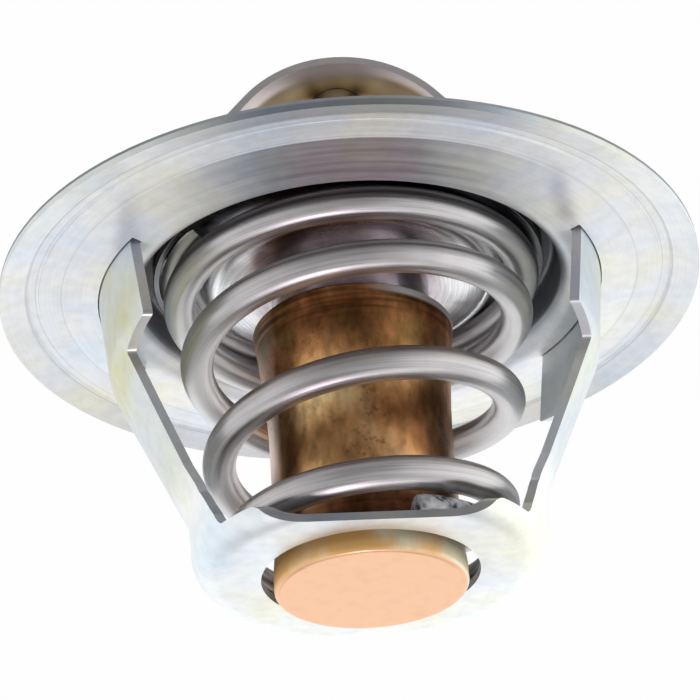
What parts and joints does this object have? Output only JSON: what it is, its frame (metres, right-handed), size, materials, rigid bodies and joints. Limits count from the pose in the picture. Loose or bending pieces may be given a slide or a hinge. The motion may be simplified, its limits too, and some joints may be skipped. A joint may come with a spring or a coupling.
{
  "type": "engine thermostat",
  "caption": "Wax-capsule engine thermostat: flanged coolant valve with conical spring, sheet frame, bridge and brass capsule.",
  "frame": {"origin": "centre of the bounding box's underside, on the capsule's flat end, with Z on the valve's axis", "axes": "+Z along the piston from the capsule towards the bridge; the bridge and frame lie near the XZ plane, turned 5 degrees"},
  "size_m": [0.054, 0.054, 0.0437],
  "materials": {
    "zinc_plate": "satin zinc plate with faint yellow and blue tints",
    "spring_steel": "polished drawn wire",
    "polished_steel": "ground and polished",
    "plate_steel": "satin",
    "capsule_brass": "aged and mottled, bare copper colour on the end",
    "rubber": "matt moulded rubber",
    "washer_plastic": "matt",
    "wax": "dull, filled with copper powder"
  },
  "bodies": {
    "housing": {"flange": "zinc_plate", "upper_bridge": "zinc_plate", "lower_frame": "zinc_plate", "main_spring": "spring_steel", "piston": "polished_steel", "force_plug": "rubber", "backup_washer": "washer_plastic"},
    "valve": {"valve_plate": "plate_steel", "valve_seal": "rubber", "capsule_guide": "plate_steel", "diaphragm": "rubber", "wax_charge": "wax", "capsule_cup": "capsule_brass"}
  },
  "joints": [
    {"name": "valve_slide", "type": "slide", "parent": "housing", "child": "valve", "axis": [0, 0, 1], "range_m": [-0.008, 0], "stiffness_N_per_m": 9000, "deforming": ["main_spring"]}
  ]
}
